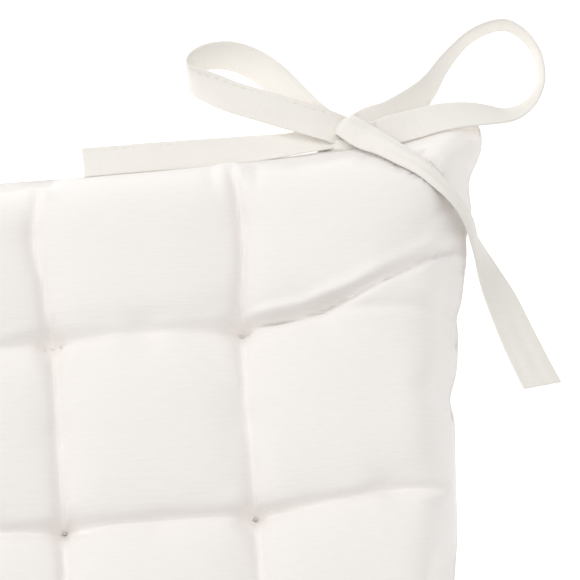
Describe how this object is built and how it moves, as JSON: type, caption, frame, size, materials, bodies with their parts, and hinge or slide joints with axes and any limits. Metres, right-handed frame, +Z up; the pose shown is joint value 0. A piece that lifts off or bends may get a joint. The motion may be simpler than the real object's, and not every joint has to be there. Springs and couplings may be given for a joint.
{
  "type": "tufted chair seat pad",
  "caption": "Square tufted cotton seat pad filled with fibre, quilted into pillows by through-stitched tufts, with flat fabric ties in a bow at each back corner.",
  "frame": {"origin": "middle of the underside, on the seat that the pad rests on", "axes": "+X to the sitter's right, +Y to the chair's back, +Z up"},
  "size_m": [0.4896, 0.4435, 0.044],
  "materials": {
    "cover_cotton": "matte undyed off-white slub cotton, plain weave with soft horizontal slubs",
    "tie_cotton": "matte off-white cotton tape, folded and edge-stitched",
    "thread": "matte ecru sewing thread",
    "fibre": "white polyester fibre filling"
  },
  "bodies": {
    "root": {"top_panel": "cover_cotton", "bottom_panel": "cover_cotton", "fibre_filling": "fibre", "edge_seam": "thread", "closing_stitch": "thread", "tuft_r1c1": "thread", "tuft_r1c2": "thread", "tuft_r1c3": "thread", "tuft_r1c4": "thread", "tuft_r2c1": "thread", "tuft_r2c2": "thread", "tuft_r2c3": "thread", "tuft_r2c4": "thread", "tuft_r3c1": "thread", "tuft_r3c2": "thread", "tuft_r3c3": "thread", "tuft_r3c4": "thread", "tuft_r4c1": "thread", "tuft_r4c2": "thread", "tuft_r4c3": "thread", "tuft_r4c4": "thread", "right_tie_root_left": "tie_cotton", "right_tie_root_right": "tie_cotton", "right_tie_loop_left": "tie_cotton", "right_tie_loop_right": "tie_cotton", "right_tie_tail_left": "tie_cotton", "right_tie_tail_right": "tie_cotton", "right_tie_knot": "tie_cotton", "right_tie_tack": "thread", "left_tie_root_left": "tie_cotton", "left_tie_root_right": "tie_cotton", "left_tie_loop_left": "tie_cotton", "left_tie_loop_right": "tie_cotton", "left_tie_tail_left": "tie_cotton", "left_tie_tail_right": "tie_cotton", "left_tie_knot": "tie_cotton", "left_tie_tack": "thread"}
  },
  "joints": []
}
